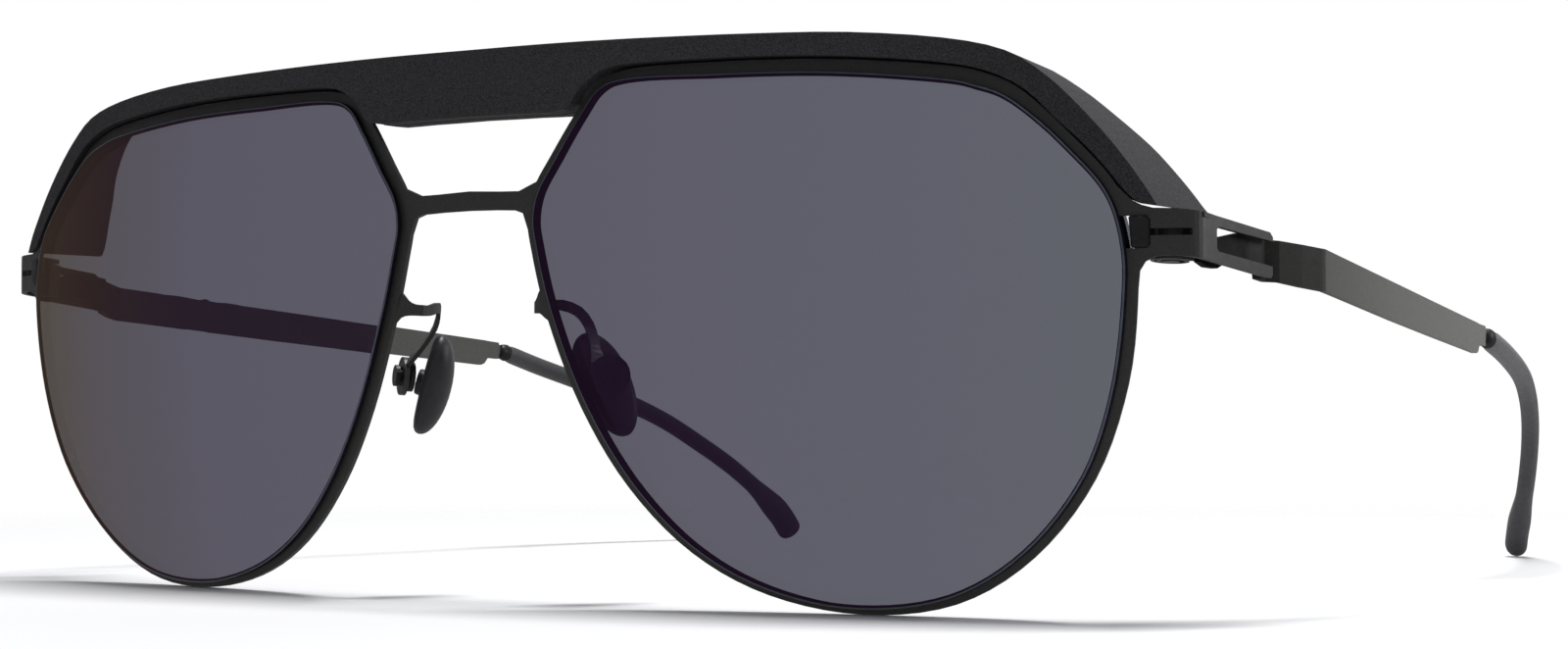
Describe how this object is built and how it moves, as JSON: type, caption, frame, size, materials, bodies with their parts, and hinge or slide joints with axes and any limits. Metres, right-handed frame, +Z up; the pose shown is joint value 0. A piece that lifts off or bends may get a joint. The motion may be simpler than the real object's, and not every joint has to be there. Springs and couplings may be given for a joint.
{
  "type": "sunglasses",
  "caption": "Aviator sunglasses with a sheet-metal front, a moulded brow bar with side shields, tinted lenses, folding sheet temples with soft tips and rocking nose pads.",
  "frame": {"origin": "bottom centre of the bounding box, on the surface that the rims and the temple tips rest on", "axes": "+X to the wearer's left, -Y the way the lenses face, +Z up"},
  "size_m": [0.141, 0.1382, 0.0497],
  "materials": {
    "coated_sheet": "satin dark grey coating on thin steel sheet",
    "printed_nylon": "matte, finely grained, near black",
    "tinted_lens": "polished, solid grey tint",
    "silicone": "satin charcoal",
    "tip_rubber": "satin dark grey",
    "dark_polymer": "soft gloss, near black"
  },
  "bodies": {
    "front": {"front_frame": "coated_sheet", "brow_bar": "printed_nylon", "lens_left": "tinted_lens", "lens_right": "tinted_lens", "rim_lock_left": "dark_polymer", "rim_lock_right": "dark_polymer", "hinge_core_left": "coated_sheet", "hinge_core_right": "coated_sheet"},
    "left_temple": {"hinge_coil_left": "coated_sheet", "temple_left": "coated_sheet", "tip_collar_left": "dark_polymer", "temple_tip_left": "tip_rubber"},
    "right_temple": {"hinge_coil_right": "coated_sheet", "temple_right": "coated_sheet", "tip_collar_right": "dark_polymer", "temple_tip_right": "tip_rubber"},
    "left_pad": {"nose_pad_left": "silicone", "pad_clip_left": "dark_polymer"},
    "right_pad": {"nose_pad_right": "silicone", "pad_clip_right": "dark_polymer"}
  },
  "joints": [
    {"name": "left_temple_fold", "type": "hinge", "parent": "front", "child": "left_temple", "pos_m": [0.0638, -0.05722, 0.0309], "axis": [0, 0.0872, 0.9962], "range_deg": [0, 80]},
    {"name": "right_temple_fold", "type": "hinge", "parent": "front", "child": "right_temple", "pos_m": [-0.0638, -0.05722, 0.0309], "axis": [0, -0.0872, -0.9962], "range_deg": [0, 64]},
    {"name": "left_pad_rock", "type": "hinge", "parent": "front", "child": "left_pad", "pos_m": [0.01215, -0.06272, 0.0205], "axis": [0.3873, 0.1354, -0.912], "range_deg": [-5, 5]},
    {"name": "right_pad_rock", "type": "hinge", "parent": "front", "child": "right_pad", "pos_m": [-0.01215, -0.06272, 0.0205], "axis": [-0.3873, 0.1354, -0.912], "range_deg": [-5, 5]}
  ]
}
